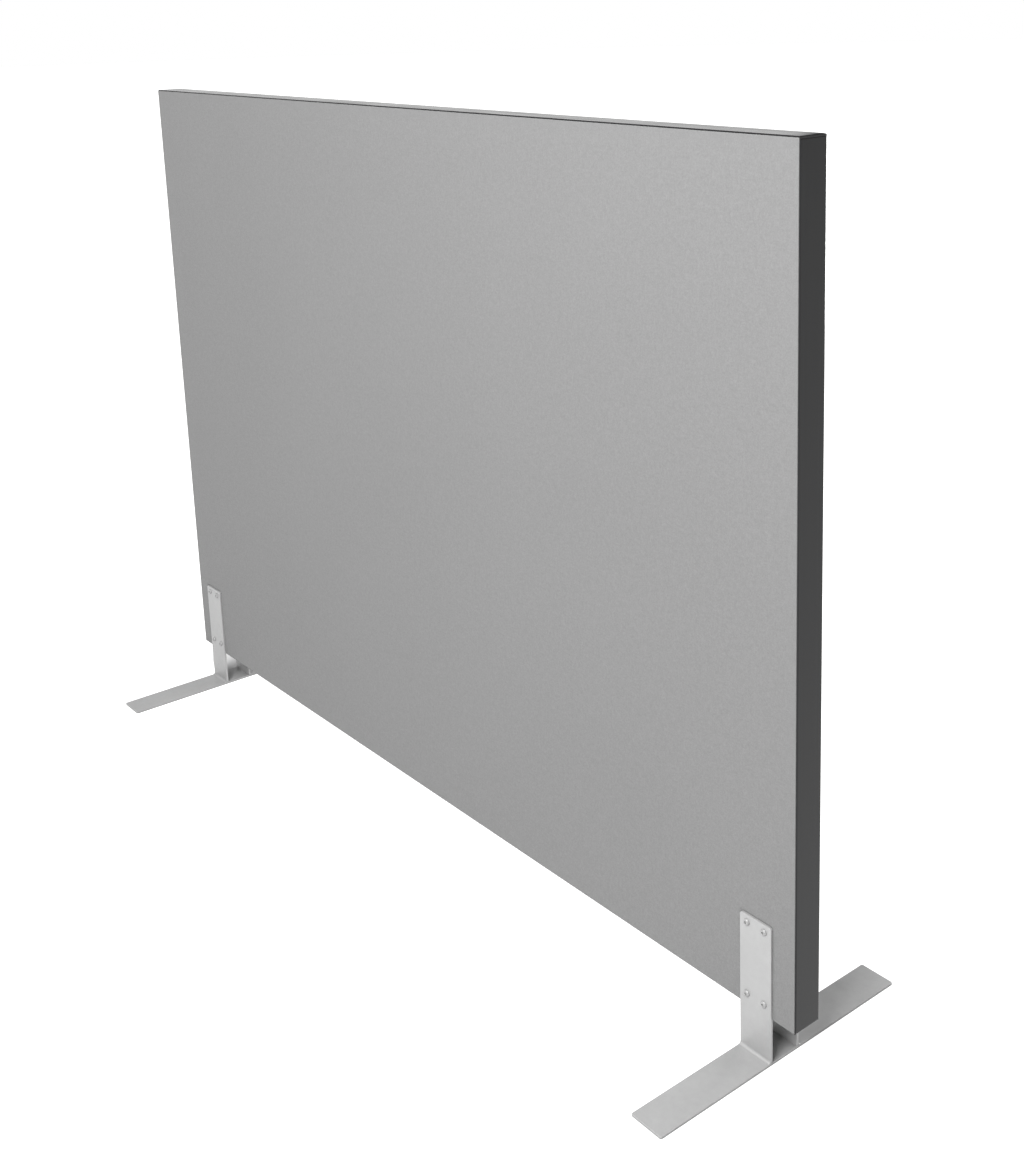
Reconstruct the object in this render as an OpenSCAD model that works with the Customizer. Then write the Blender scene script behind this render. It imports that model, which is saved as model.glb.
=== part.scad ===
// Free-standing acoustic divider screen.
// An upholstered insert (timber frame, acoustic slabs, felt and fabric on both faces) lies in a
// mitred edge profile, and stands on two flat-bar steel feet that clamp it from front and back.
// Millimetres. +X is the width, -Y the front, +Z up. The origin is on the floor, under the middle.

/* [Panel] */
// Width of the panel over its edge profile
panel_w = 1800; // [1200:10:2400]
// Height of the panel over its edge profile
panel_h = 1240; // [700:10:1800]
// Thickness of the panel, front fabric to back lip
panel_t = 50; // [46:1:70]
// Height of the panel's underside above the floor
panel_lift = 70; // [40:1:160]

/* [Edge profile] */
// Wall of the edge profile, which shows as the thin rim round the front fabric
wall_t = 2; // [1.8:0.1:3]
// Width of the lip that the profile turns onto the back
lip_w = 15; // [14:0.5:17]
// Outer radius of the profile's rear edge
heel_r = 3; // [2.5:0.5:8]
// Radius of the rim's outer front edge
rim_r = 1.6; // [0.4:0.1:1.7]
// How far the front fabric stands proud of the rim
rim_setback = 1; // [0:0.1:2]
// Rounding of the four mitred corners, seen from the front
corner_r = 5; // [1:0.5:5]
// Screws along the top lip, and as many along the bottom lip
long_side_screws = 5; // [3:1:8]
// Screws along each upright lip
short_side_screws = 4; // [2:1:6]

/* [Upholstery] */
// Thickness of the fabric
fabric_t = 1; // [0.6:0.1:1.4]
// Thickness of the felt behind the front fabric
felt_t = 2.5; // [2:0.1:4]
// Width of the front fabric's hem, down the sides of the timber frame
hem_w = 28; // [15:1:30]
// Clearance between the upholstered insert and the edge profile
insert_gap = 0.2; // [0.1:0.1:0.8]

/* [Timber frame] */
// Width of the two outer stiles
stile_w = 40; // [38:1:55]
// Height of the top rail
top_rail_h = 40; // [30:1:80]
// Height of the bottom rail
bottom_rail_h = 60; // [50:1:80]
// Width of the two studs inside the frame
stud_w = 40; // [30:1:60]
// Rounding of the frame's rear outer edges, which clears the inside of the profile
frame_round_r = 4; // [3:0.5:5]
// Width of the blocks that the upper foot screws are fixed in
block_w = 100; // [80:1:140]
// Timber of a block above its upper foot screws
block_margin = 45; // [20:1:80]

/* [Feet] */
// Width of the flat bar
bar_w = 60; // [56:1:80]
// Thickness of the flat bar
bar_t = 4; // [3:0.5:8]
// Length of a foot, toe to heel
foot_l = 480; // [300:10:700]
// Distance from the panel's end to the outer side of a foot
foot_inset = 42; // [20:1:52]
// Corner radius of the floor bar
bar_corner_r = 3; // [1:0.5:8]
// Corner radius at the top of the uprights
upright_corner_r = 5; // [1:0.5:8]
// Radius of the weld fillet between an upright and its floor bar
weld_r = 5; // [2:0.5:8]

/* [Foot screws] */
// Sideways distance between the screws of an upright
screw_pitch_x = 33; // [26:1:36]
// Distance between the lower and the upper screws
screw_pitch_z = 114; // [90:1:160]
// Height of the lower screws above the panel's underside
screw_rise = 22.5; // [21:0.5:26]
// Height of an upright above its upper screws
upright_margin = 11.5; // [9:0.5:30]
// Diameter of the screws
screw_d = 6; // [5:0.5:6]
// Length of the screws under the head
screw_l = 20; // [18:1:22]
// Diameter of the screw heads
head_d = 10.5; // [9:0.5:12]
// Height of the screw heads
head_h = 3.3; // [2.5:0.1:4]
// Outer diameter of the threaded inserts
insert_d = 9; // [8.5:0.5:10]
// Length of the threaded inserts
insert_l = 13; // [10:1:14]

/* [Timber screws] */
// Diameter of the screws that hold the frame together
frame_screw_d = 5; // [4:0.5:5]
// Head diameter of the frame's screws
frame_head_d = 9.5; // [8:0.5:10]
// Grip of the frame's screws in the second member
frame_grip = 50; // [30:1:60]
// Diameter of the screws in the edge profile's lip
lip_screw_d = 3.5; // [3:0.1:3.5]
// Head diameter of the lip's screws
lip_head_d = 6; // [5:0.1:6.2]
// Length of the lip's screws
lip_screw_l = 11; // [8:0.5:11]

/* [Hidden] */
$fn = 48;

// How far a cut runs past the face that it opens
overrun = 2;
// Radial clearance round a fastener in its hole
fit_gap = 0.1;
// Radial clearance of the feet's screws in the plates and the fabric
screw_play = 0.3;
// Across the corners, and depth, of the hexagon socket in a foot screw
socket_d = 4.6;
socket_h = 2;
// Depth of a hole left beyond the end of a threaded insert
insert_relief = 1.5;
// Flat of the lip left beside a screw's head
head_land = 0.5;
// Fabric left outside the screws of the lip
flange_edge = 0.75;

// The panel
panel_top = panel_lift + panel_h;
front_y = -panel_t / 2;
back_y = panel_t / 2;
panel_mid_z = panel_lift + panel_h / 2;
rim_y = front_y + rim_setback;

// The insert, from the outside in: clearance, fabric, timber
insert_inset = wall_t + insert_gap;
frame_inset = insert_inset + fabric_t;
frame_half_w = panel_w / 2 - frame_inset;
frame_bottom = panel_lift + frame_inset;
frame_top = panel_top - frame_inset;
frame_front = front_y + fabric_t + felt_t;
frame_back = back_y - wall_t - fabric_t;
frame_mid_y = (frame_front + frame_back) / 2;
frame_t = frame_back - frame_front;

// The back fabric lies inside the lip, and its edge turns down and out under the lip
back_inset = lip_w + insert_gap;
back_felt_inset = back_inset + fabric_t;
lip_screw_inset = lip_w - lip_head_d / 2 - head_land;
flange_inset = lip_screw_inset - lip_screw_d / 2 - flange_edge;

// Members of the timber frame
stile_inside = frame_half_w - stile_w;
bottom_rail_top = frame_bottom + bottom_rail_h;
top_rail_bottom = frame_top - top_rail_h;
bay_w = (2 * stile_inside - 2 * stud_w) / 3;
stud_x = (bay_w + stud_w) / 2;
block_top = panel_lift + screw_rise + screw_pitch_z + block_margin;
block_inside = stile_inside - block_w;

// Places of the timber frame's screws
frame_screw_y = [frame_mid_y - frame_t / 4, frame_mid_y + frame_t / 4];
rail_screw_z = [frame_bottom + bottom_rail_h * 2 / 3, frame_top - top_rail_h / 2];
block_screw_z = [
    bottom_rail_top + (block_top - bottom_rail_top) / 4,
    block_top - (block_top - bottom_rail_top) / 4
];

// The feet
foot_x = panel_w / 2 - foot_inset - bar_w / 2;
upright_top = panel_lift + screw_rise + screw_pitch_z + upright_margin;
plate_hole_d = screw_d + 2 * screw_play;
screw_z = [panel_lift + screw_rise, panel_lift + screw_rise + screw_pitch_z];
dome_r = (head_h * head_h + head_d * head_d / 4) / (2 * head_h);

// Places spread evenly over a length, about its middle
function spread(count, span) = [for (i = [0:count - 1]) span * (2 * i + 1 - count) / (2 * count)];

// A box given by its lowest and its highest corner
module span_box(low, high) {
    translate(low) cube(high - low);
}

// A plate in elevation that stays one distance inside the panel's outline on all four sides
module inset_plate(inset, y0, y1) {
    span_box([-panel_w / 2 + inset, y0, panel_lift + inset],
             [panel_w / 2 - inset, y1, panel_top - inset]);
}

// A rectangular ring in elevation, between two distances from the panel's outline
module inset_ring(outer_inset, inner_inset, y0, y1) {
    difference() {
        inset_plate(outer_inset, y0, y1);
        inset_plate(inner_inset, y0 - overrun, y1 + overrun);
    }
}

// A rectangle from its low corner, with the corner at zero width and full height rounded
module heel_shape(low, size, r) {
    translate(low) {
        translate([r, 0]) square([size.x - r, size.y]);
        square([size.x, size.y - r]);
        translate([r, size.y - r]) circle(r);
    }
}

// What is cut off a square corner to round it
module corner_waste(r) {
    difference() {
        translate([-overrun, -overrun]) square(r + overrun);
        translate([r, r]) circle(r);
    }
}

// A flat plate about the origin, with rounded corners
module rounded_plate(w, l, r) {
    square([w - 2 * r, l], center = true);
    square([w, l - 2 * r], center = true);
    for (x = [-1, 1], y = [-1, 1]) translate([x * (w / 2 - r), y * (l / 2 - r)]) circle(r);
}

// Fasteners point down: the head's seat is at zero, the shank runs below it
module button_screw() {
    difference() {
        union() {
            intersection() {
                translate([0, 0, head_h - dome_r]) sphere(dome_r);
                cylinder(h = head_h, d = head_d);
            }
            translate([0, 0, -screw_l]) cylinder(h = screw_l, d = screw_d);
        }
        translate([0, 0, head_h - socket_h]) cylinder(h = socket_h + overrun, d = socket_d, $fn = 6);
    }
}

// A countersunk screw, its head flush at zero; grown, it is the hole for one
module countersunk(d, cap_d, l, grow = 0) {
    cone_h = (cap_d - d) / 2;
    translate([0, 0, -cone_h]) cylinder(h = cone_h, d1 = d + 2 * grow, d2 = cap_d + 2 * grow);
    translate([0, 0, -l - grow]) cylinder(h = l + grow, d = d + 2 * grow);
    if (grow > 0) cylinder(h = overrun, d = cap_d + 2 * grow);
}

module frame_screw(member_w, grow = 0) {
    countersunk(frame_screw_d, frame_head_d, member_w + frame_grip, grow);
}

module lip_screw(grow = 0) {
    countersunk(lip_screw_d, lip_head_d, lip_screw_l, grow);
}

// Places of the fasteners, each turned so that the head faces out
module at_rail_ends(sides = [-1, 1], heights = rail_screw_z) {
    for (s = sides, z = heights, y = frame_screw_y)
        translate([s * frame_half_w, y, z]) rotate([0, s * 90, 0]) children();
}

module at_block_screws(sides = [-1, 1]) {
    for (s = sides, z = block_screw_z)
        translate([s * frame_half_w, frame_mid_y, z]) rotate([0, s * 90, 0]) children();
}

module at_stud_tops() {
    for (s = [-1, 1], y = frame_screw_y) translate([s * stud_x, y, frame_top]) children();
}

module at_stud_bottoms() {
    for (s = [-1, 1], y = frame_screw_y)
        translate([s * stud_x, y, frame_bottom]) rotate([180, 0, 0]) children();
}

module at_lip_screws() {
    for (x = spread(long_side_screws, panel_w), s = [-1, 1])
        translate([x, back_y, panel_mid_z + s * (panel_h / 2 - lip_screw_inset)])
            rotate([-90, 0, 0]) children();
    for (z = spread(short_side_screws, panel_h), s = [-1, 1])
        translate([s * (panel_w / 2 - lip_screw_inset), back_y, panel_mid_z + z])
            rotate([-90, 0, 0]) children();
}

// The seats of one foot's screws, on the outer face of its upright; face is -1 front, 1 rear
module at_foot_screws(side, face) {
    for (s = [-1, 1], z = screw_z)
        translate([side * foot_x + s * screw_pitch_x / 2, face * (back_y + bar_t), z])
            rotate([-face * 90, 0, 0]) children();
}

module foot_screw_holes(side, face) {
    at_foot_screws(side, face)
        translate([0, 0, -panel_t]) cylinder(h = panel_t + overrun, d = plate_hole_d);
}

// The front of the timber lies this deep below the seat of a front screw, and of a rear one
function insert_depth(face) =
    bar_t + (face < 0 ? frame_front - front_y : back_y - frame_back);

// A hole takes the insert, and the end of the screw where that reaches further
function insert_hole_l(face) = max(insert_l, screw_l - insert_depth(face)) + insert_relief;

module insert_holes(side) {
    for (face = [-1, 1]) at_foot_screws(side, face)
        translate([0, 0, -insert_depth(face) - insert_hole_l(face)])
            cylinder(h = insert_hole_l(face) + overrun, d = insert_d + 2 * fit_gap);
}

// Timber frame: butt joints, screwed through the stiles and rails
module frame_outline() {
    r = frame_round_r;
    intersection() {
        translate([0, 0, frame_bottom]) linear_extrude(frame_top - frame_bottom)
            for (s = [0, 1]) mirror([s, 0])
                heel_shape([-frame_half_w, frame_front], [frame_half_w, frame_t], r);
        translate([-frame_half_w, 0, 0]) rotate([90, 0, 90]) linear_extrude(2 * frame_half_w)
            translate([0, panel_mid_z]) for (s = [0, 1]) mirror([0, s])
                rotate(-90) heel_shape([-(frame_top - panel_mid_z), frame_front],
                                       [frame_top - panel_mid_z, frame_t], r);
    }
}

module frame_member(x0, x1, z0, z1) {
    intersection() {
        frame_outline();
        span_box([x0, frame_front - overrun, z0], [x1, frame_back + overrun, z1]);
    }
}

module stile(side) {
    color("burlywood") difference() {
        frame_member(min(side * frame_half_w, side * stile_inside),
                     max(side * frame_half_w, side * stile_inside), frame_bottom, frame_top);
        at_rail_ends([side]) frame_screw(stile_w, fit_gap);
        at_block_screws([side]) frame_screw(stile_w, fit_gap);
        at_lip_screws() lip_screw(fit_gap);
    }
}

module left_stile() { stile(-1); }
module right_stile() { stile(1); }

module top_rail() {
    color("burlywood") difference() {
        frame_member(-stile_inside, stile_inside, top_rail_bottom, frame_top);
        at_rail_ends(heights = [rail_screw_z[1]]) frame_screw(stile_w, fit_gap);
        at_stud_tops() frame_screw(top_rail_h, fit_gap);
        at_lip_screws() lip_screw(fit_gap);
    }
}

module bottom_rail() {
    color("burlywood") difference() {
        frame_member(-stile_inside, stile_inside, frame_bottom, bottom_rail_top);
        at_rail_ends(heights = [rail_screw_z[0]]) frame_screw(stile_w, fit_gap);
        at_stud_bottoms() frame_screw(bottom_rail_h, fit_gap);
        at_lip_screws() lip_screw(fit_gap);
        insert_holes(-1);
        insert_holes(1);
    }
}

module stud(side) {
    color("burlywood") difference() {
        span_box([side * stud_x - stud_w / 2, frame_front, bottom_rail_top],
                 [side * stud_x + stud_w / 2, frame_back, top_rail_bottom]);
        at_stud_tops() frame_screw(top_rail_h, fit_gap);
        at_stud_bottoms() frame_screw(bottom_rail_h, fit_gap);
    }
}

module left_stud() { stud(-1); }
module right_stud() { stud(1); }

// A foot block, or with a cut's overrun the space that the slab beside it leaves for it
module block_box(side, over = 0) {
    span_box([min(side * block_inside, side * (stile_inside + over)), frame_front - over,
              bottom_rail_top - over],
             [max(side * block_inside, side * (stile_inside + over)), frame_back + over, block_top]);
}

module foot_block(side) {
    color("tan") difference() {
        block_box(side);
        at_block_screws([side]) frame_screw(stile_w, fit_gap);
        insert_holes(side);
    }
}

module left_foot_block() { foot_block(-1); }
module right_foot_block() { foot_block(1); }

module frame_screws() {
    color("goldenrod") {
        at_rail_ends() frame_screw(stile_w);
        at_block_screws() frame_screw(stile_w);
        at_stud_tops() frame_screw(top_rail_h);
        at_stud_bottoms() frame_screw(bottom_rail_h);
    }
}

// Acoustic filling: one slab in each bay, cut out round the foot blocks
module core(x0, x1) {
    span_box([x0, frame_front, bottom_rail_top], [x1, frame_back, top_rail_bottom]);
}

module side_core(side) {
    near = stud_x + stud_w / 2;
    color("khaki") difference() {
        core(min(side * near, side * stile_inside), max(side * near, side * stile_inside));
        block_box(side, overrun);
    }
}

module left_core() { side_core(-1); }
module right_core() { side_core(1); }

module centre_core() {
    color("khaki") core(-stud_x + stud_w / 2, stud_x - stud_w / 2);
}

// Felt and fabric, front and back
module front_felt() {
    color("gainsboro") difference() {
        inset_plate(frame_inset, front_y + fabric_t, frame_front);
        foot_screw_holes(-1, -1);
        foot_screw_holes(1, -1);
    }
}

module back_felt() {
    color("gainsboro") difference() {
        inset_plate(back_felt_inset, frame_back, back_y - fabric_t);
        foot_screw_holes(-1, 1);
        foot_screw_holes(1, 1);
    }
}

// The front sheet turns back along the frame's sides as a hem
module front_fabric() {
    color("silver") difference() {
        union() {
            inset_plate(insert_inset, front_y, front_y + fabric_t);
            inset_ring(insert_inset, frame_inset, front_y, frame_front + hem_w);
        }
        foot_screw_holes(-1, -1);
        foot_screw_holes(1, -1);
    }
}

// The back sheet turns down round the felt and out under the profile's lip
module back_fabric() {
    color("silver") difference() {
        union() {
            inset_plate(back_inset, back_y - fabric_t, back_y);
            inset_ring(back_inset, back_felt_inset, frame_back, back_y);
            inset_ring(flange_inset, back_felt_inset, frame_back, frame_back + fabric_t);
        }
        foot_screw_holes(-1, 1);
        foot_screw_holes(1, 1);
        at_lip_screws() lip_screw(fit_gap);
    }
}

// Edge profile: a side wall with a rounded heel and a lip that turns onto the back.
// Its section runs inwards along x and from front to back along y.
module profile_section() {
    depth = back_y - rim_y;
    difference() {
        heel_shape([0, rim_y], [lip_w, depth], heel_r);
        heel_shape([wall_t, rim_y - overrun], [lip_w, depth - wall_t + overrun], heel_r - wall_t);
        translate([0, rim_y]) corner_waste(rim_r);
    }
}

// The part of an edge that one profile covers: its ends are mitred towards the panel's middle
module mitre(length) {
    reach = lip_w + overrun;
    polygon([[-length / 2, 0], [length / 2, 0], [length / 2 - reach, reach], [-length / 2 + reach, reach]]);
}

// A profile along x, its outer side at zero height and its inside upwards
module edge_profile(length) {
    intersection() {
        translate([length / 2, 0, 0]) rotate([0, -90, 0]) linear_extrude(length) profile_section();
        translate([0, back_y + overrun, 0]) rotate([90, 0, 0])
            linear_extrude(panel_t + 2 * overrun) mitre(length);
    }
}

// What a profile loses when it is fitted: its sharp outer corners, and the holes in its lip
module fitted() {
    color("dimgray") difference() {
        intersection() {
            children();
            translate([0, back_y + overrun, panel_mid_z]) rotate([90, 0, 0])
                linear_extrude(panel_t + 2 * overrun) rounded_plate(panel_w, panel_h, corner_r);
        }
        at_lip_screws() lip_screw(fit_gap);
    }
}

module bottom_edge_profile() {
    fitted() translate([0, 0, panel_lift]) edge_profile(panel_w);
}

module top_edge_profile() {
    fitted() translate([0, 0, panel_top]) mirror([0, 0, 1]) edge_profile(panel_w);
}

module left_edge_profile() {
    fitted() translate([-panel_w / 2, 0, panel_mid_z]) rotate([0, 90, 0]) edge_profile(panel_h);
}

module right_edge_profile() {
    fitted() translate([panel_w / 2, 0, panel_mid_z]) rotate([0, -90, 0]) edge_profile(panel_h);
}

module edge_profile_screws() {
    color("slategray") at_lip_screws() lip_screw();
}

// Feet: a floor bar with an upright plate welded on before and behind the panel
module floor_bar(side) {
    color("lightgray") translate([side * foot_x, 0, 0])
        linear_extrude(bar_t) rounded_plate(bar_w, foot_l, bar_corner_r);
}

module upright(side, face) {
    r = upright_corner_r;
    color("lightgray") difference() {
        translate([side * foot_x, 0, 0]) mirror([0, face > 0 ? 1 : 0, 0]) {
            translate([0, front_y, 0]) rotate([90, 0, 0]) linear_extrude(bar_t) {
                translate([-bar_w / 2, bar_t]) square([bar_w, upright_top - bar_t - r]);
                translate([-bar_w / 2 + r, bar_t]) square([bar_w - 2 * r, upright_top - bar_t]);
                for (s = [-1, 1]) translate([s * (bar_w / 2 - r), upright_top - r]) circle(r);
            }
            translate([-bar_w / 2, front_y - bar_t, bar_t]) rotate([90, 0, 90])
                linear_extrude(bar_w) weld_section();
        }
        foot_screw_holes(side, face);
    }
}

// Concave fillet in the corner between plate and floor bar
module weld_section() {
    difference() {
        translate([-weld_r, 0]) square(weld_r);
        translate([-weld_r, weld_r]) circle(weld_r);
    }
}

module left_floor_bar() { floor_bar(-1); }
module right_floor_bar() { floor_bar(1); }
module left_front_upright() { upright(-1, -1); }
module left_rear_upright() { upright(-1, 1); }
module right_front_upright() { upright(1, -1); }
module right_rear_upright() { upright(1, 1); }

// Fixings of the feet
module threaded_inserts(side) {
    color("darkkhaki") for (face = [-1, 1]) at_foot_screws(side, face)
        translate([0, 0, -insert_depth(face) - insert_l]) difference() {
            cylinder(h = insert_l, d = insert_d);
            translate([0, 0, -overrun])
                cylinder(h = insert_l + 2 * overrun, d = screw_d + 2 * fit_gap);
        }
}

module left_threaded_inserts() { threaded_inserts(-1); }
module right_threaded_inserts() { threaded_inserts(1); }

module foot_screws(side, face) {
    color("gray") at_foot_screws(side, face) button_screw();
}

module left_front_screws() { foot_screws(-1, -1); }
module left_rear_screws() { foot_screws(-1, 1); }
module right_front_screws() { foot_screws(1, -1); }
module right_rear_screws() { foot_screws(1, 1); }

top_rail();
bottom_rail();
left_stile();
right_stile();
left_stud();
right_stud();
left_foot_block();
right_foot_block();
frame_screws();
left_core();
centre_core();
right_core();
front_felt();
back_felt();
front_fabric();
back_fabric();
top_edge_profile();
bottom_edge_profile();
left_edge_profile();
right_edge_profile();
edge_profile_screws();
left_floor_bar();
left_front_upright();
left_rear_upright();
right_floor_bar();
right_front_upright();
right_rear_upright();
left_threaded_inserts();
right_threaded_inserts();
left_front_screws();
left_rear_screws();
right_front_screws();
right_rear_screws();
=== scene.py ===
import math

import bmesh
import bpy
from mathutils import Matrix, Vector


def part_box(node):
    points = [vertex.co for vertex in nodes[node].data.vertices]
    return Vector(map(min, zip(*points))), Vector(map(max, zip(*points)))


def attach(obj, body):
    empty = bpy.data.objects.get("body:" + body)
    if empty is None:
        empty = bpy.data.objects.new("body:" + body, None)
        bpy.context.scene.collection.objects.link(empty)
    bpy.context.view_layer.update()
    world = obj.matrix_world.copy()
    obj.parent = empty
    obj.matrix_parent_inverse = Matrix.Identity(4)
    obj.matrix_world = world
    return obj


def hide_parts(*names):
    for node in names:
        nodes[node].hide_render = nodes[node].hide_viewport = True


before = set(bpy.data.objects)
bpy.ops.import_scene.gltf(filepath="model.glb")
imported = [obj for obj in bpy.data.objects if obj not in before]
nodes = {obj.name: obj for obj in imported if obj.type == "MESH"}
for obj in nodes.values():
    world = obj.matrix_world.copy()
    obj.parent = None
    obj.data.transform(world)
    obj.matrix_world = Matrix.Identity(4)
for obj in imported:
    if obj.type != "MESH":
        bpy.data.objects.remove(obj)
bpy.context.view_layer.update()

mm = 0.001
arcSteps = 10  # faces in a quarter turn of a small edge
softTurn = 60  # degrees under which the faces of soft and welded pieces are shaded as one

# Sizes that several pieces share, in millimetres, with the origin on the floor under the middle
panel = {"width": 1800, "height": 1240, "thickness": 50, "lift": 70}
halfWidth, halfHeight = panel["width"] / 2, panel["height"] / 2
midHeight = panel["lift"] + halfHeight
frontY, backY = -panel["thickness"] / 2, panel["thickness"] / 2
foot = {"middle": 828, "barWidth": 60, "barThickness": 4, "length": 480, "uprightTop": 218}
footScrews = {"pitchX": 33, "pitchZ": 114, "low": 92.5}


# Camera, fitted to the straight edges of the panel and feet in the photograph
cameraSettings = {
    "place": (2131.2, -1385.8, 1482.2),  # millimetres
    "turn": 50.196,  # degrees to the left of looking straight at the front
    "tilt": 12.756,  # degrees down
    "roll": -1.471,
    "focalPixels": 1507.4,
    "axisPixel": (591.0, 335.8),
    "imageSize": (1024, 1168),
}


def makeCamera(settings):
    data = bpy.data.cameras.new("camera")
    width, height = settings["imageSize"]
    data.sensor_width = 36
    data.lens = settings["focalPixels"] / height * data.sensor_width
    data.shift_x = (width / 2 - settings["axisPixel"][0]) / height
    data.shift_y = (settings["axisPixel"][1] - height / 2) / height
    data.clip_end = 200
    camera = bpy.data.objects.new("camera", data)
    bpy.context.scene.collection.objects.link(camera)
    camera.matrix_world = (
        Matrix.Translation([c * mm for c in settings["place"]])
        @ Matrix.Rotation(math.radians(settings["turn"]), 4, "Z")
        @ Matrix.Rotation(math.radians(90 - settings["tilt"]), 4, "X")
        @ Matrix.Rotation(math.radians(settings["roll"]), 4, "Z")
    )
    bpy.context.scene.camera = camera


makeCamera(cameraSettings)
print("camera placed")


# Node helpers for the materials. A noise scale is in waves per metre.
def newMaterial(name, baseColor, roughness, **sockets):
    made = bpy.data.materials.new(name)
    made.use_nodes = True
    shader = made.node_tree.nodes["Principled BSDF"]
    shader.inputs["Base Color"].default_value = (*baseColor, 1)
    shader.inputs["Roughness"].default_value = roughness
    for socket, value in sockets.items():
        shader.inputs[socket.replace("_", " ")].default_value = value
    return made


def addNode(made, kind, inputs=(), **settings):
    node = made.node_tree.nodes.new(kind)
    for key, value in settings.items():
        setattr(node, key, value)
    for key, value in dict(inputs).items():
        if isinstance(value, bpy.types.NodeSocket):
            made.node_tree.links.new(value, node.inputs[key])
        else:
            node.inputs[key].default_value = value
    return node


def objectPlace(made, scale=(1, 1, 1), turn=(0, 0, 0)):
    place = addNode(made, "ShaderNodeTexCoord").outputs["Object"]
    mapped = addNode(made, "ShaderNodeMapping", {"Vector": place, "Scale": scale, "Rotation": turn})
    return mapped.outputs["Vector"]


def noise(made, place, scale, detail=2.0, roughness=0.5):
    inputs = {"Vector": place, "Scale": scale, "Detail": detail, "Roughness": roughness}
    return addNode(made, "ShaderNodeTexNoise", inputs).outputs["Fac"]


def calc(made, operation, a, b=0.0):
    return addNode(made, "ShaderNodeMath", {0: a, 1: b}, operation=operation).outputs[0]


def spread(made, value, low, high, fromLow=0.3, fromHigh=0.7):
    inputs = {"Value": value, "From Min": fromLow, "From Max": fromHigh, "To Min": low, "To Max": high}
    return addNode(made, "ShaderNodeMapRange", inputs).outputs["Result"]


# A factor that stays within a share above and below 1
def about(made, value, share, fromLow=0.3, fromHigh=0.7):
    return spread(made, value, 1 - share, 1 + share, fromLow, fromHigh)


def tint(made, color, factor):
    inputs = {"Color": (*color, 1), "Value": factor}
    return addNode(made, "ShaderNodeHueSaturation", inputs).outputs["Color"]


def setBase(made, color=None, roughness=None, bumps=()):
    shader = made.node_tree.nodes["Principled BSDF"]
    link = made.node_tree.links.new
    if color is not None:
        link(color, shader.inputs["Base Color"])
    if roughness is not None:
        link(roughness, shader.inputs["Roughness"])
    normal = None
    for height, strength, distance in bumps:
        inputs = {"Height": height, "Strength": strength, "Distance": distance * mm}
        if normal is not None:
            inputs["Normal"] = normal
        normal = addNode(made, "ShaderNodeBump", inputs).outputs["Normal"]
    if normal is not None:
        link(normal, shader.inputs["Normal"])
    return made


# Upholstery fabric: a plain weave of slubby yarn, a little darker between the threads
greyFabricLook = {
    "color": (0.160, 0.160, 0.160), "roughness": 0.92, "sheen": 0.12, "sheenRoughness": 0.5,
    "threadPitch": 1.3, "weaveDepth": 0.10, "wobble": 0.9, "wobbleScale": 260, "threadShade": 0.10,
    "slubDepth": 0.12, "slubScale": 900, "fleck": 0.13, "fleckScale": 520, "drift": 0.015, "driftScale": 2.2,
    "mottle": 0.035, "mottleScale": 230, "mottleStretch": 0.35,
}


def weave(made, look):
    threads = 2 * math.pi / (look["threadPitch"] * mm)
    place = objectPlace(made)
    wobble = spread(made, noise(made, place, look["wobbleScale"], 1), -look["wobble"], look["wobble"])
    parts = addNode(made, "ShaderNodeSeparateXYZ", {"Vector": place})
    lines = []
    for axis in ("X", "Z"):
        phase = calc(made, "MULTIPLY", parts.outputs[axis], threads)
        lines.append(calc(made, "SINE", calc(made, "ADD", phase, wobble)))
    crossed = calc(made, "MULTIPLY", lines[0], lines[1])
    return spread(made, crossed, 0, 1, -1, 1), place


def makeGreyFabric(name, look):
    made = newMaterial(name, look["color"], look["roughness"],
                       Sheen_Weight=look["sheen"], Sheen_Roughness=look["sheenRoughness"])
    threads, place = weave(made, look)
    slub = noise(made, place, look["slubScale"], 2, 0.6)
    fleck = about(made, noise(made, place, look["fleckScale"], 3, 0.7), look["fleck"])
    drift = about(made, noise(made, place, look["driftScale"], 2), look["drift"])
    shade = about(made, threads, look["threadShade"], 0, 1)
    stretch = look["mottleStretch"]
    streaks = [
        noise(made, objectPlace(made, along), look["mottleScale"], 2, 0.6)
        for along in ((stretch, 1, 1), (1, 1, stretch))
    ]
    mottle = about(made, calc(made, "MULTIPLY", calc(made, "ADD", *streaks), 0.5), look["mottle"], 0.4, 0.6)
    value = calc(made, "MULTIPLY", calc(made, "MULTIPLY", fleck, drift), calc(made, "MULTIPLY", shade, mottle))
    return setBase(
        made, tint(made, look["color"], value),
        bumps=((threads, 0.8, look["weaveDepth"]), (slub, 0.6, look["slubDepth"])),
    )


# Satin charcoal coating of the edge profile: fine orange peel, a few faint rubs
charcoalLook = {
    "color": (0.009, 0.009, 0.0094), "roughness": 0.22, "specular": 0.28, "peelDepth": 0.012, "peelScale": 700,
    "rub": 0.04, "rubScale": 9, "rubStretch": (1, 6, 1),
}


def makeCharcoal(name, look):
    made = newMaterial(name, look["color"], look["roughness"], Specular_IOR_Level=look["specular"])
    place = objectPlace(made)
    rub = noise(made, objectPlace(made, look["rubStretch"]), look["rubScale"], 4, 0.6)
    roughness = spread(made, rub, look["roughness"] - look["rub"], look["roughness"] + look["rub"])
    peel = noise(made, place, look["peelScale"], 2)
    return setBase(made, roughness=roughness, bumps=((peel, 0.5, look["peelDepth"]),))


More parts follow.
